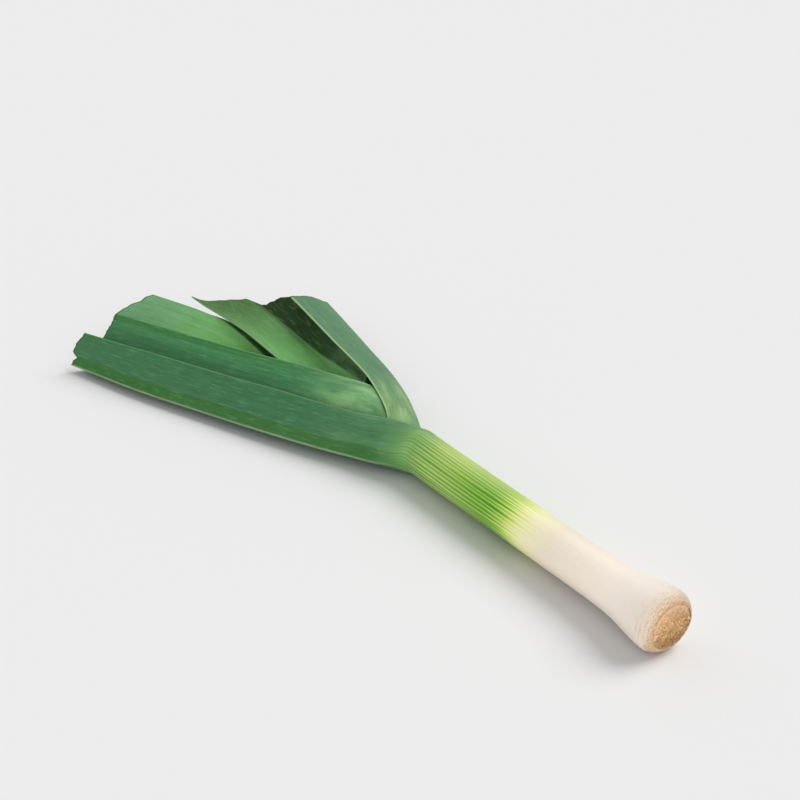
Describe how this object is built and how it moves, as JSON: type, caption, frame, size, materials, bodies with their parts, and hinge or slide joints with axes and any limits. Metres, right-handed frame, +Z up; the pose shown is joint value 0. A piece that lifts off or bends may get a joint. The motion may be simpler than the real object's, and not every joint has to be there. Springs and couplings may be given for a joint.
{
  "type": "leek",
  "caption": "Trimmed leek lying on its side: a long pale shank with a swollen root end, opening into a fan of folded green leaves cut short at their tips.",
  "frame": {"origin": "bottom centre of the bounding box, on the surface that the leek lies on", "axes": "+X from the root end to the cut leaf tips, +Z up from the surface, +Y towards the outermost leaf"},
  "size_m": [0.507, 0.1856, 0.04],
  "materials": {
    "leaf_outermost": "waxy plant skin: creamy white at the root end, yellow-green along the shank, blue-green on the blade",
    "leaf_right_outer": "waxy blue-green leaf with a thin pale margin",
    "leaf_left_inner": "waxy leaf, blue-green outside and lighter yellow-green inside",
    "leaf_right_inner": "waxy light green leaf",
    "leaf_heart": "satin pale green young leaf",
    "root_plate": "dry, granular tan root base with trimmed root ends"
  },
  "bodies": {
    "root": {"leaf_1_outermost": "leaf_outermost", "leaf_2_right_outer": "leaf_right_outer", "leaf_3_left_inner": "leaf_left_inner", "leaf_4_right_inner": "leaf_right_inner", "heart_leaf": "leaf_heart", "root_plate": "root_plate"}
  },
  "joints": []
}
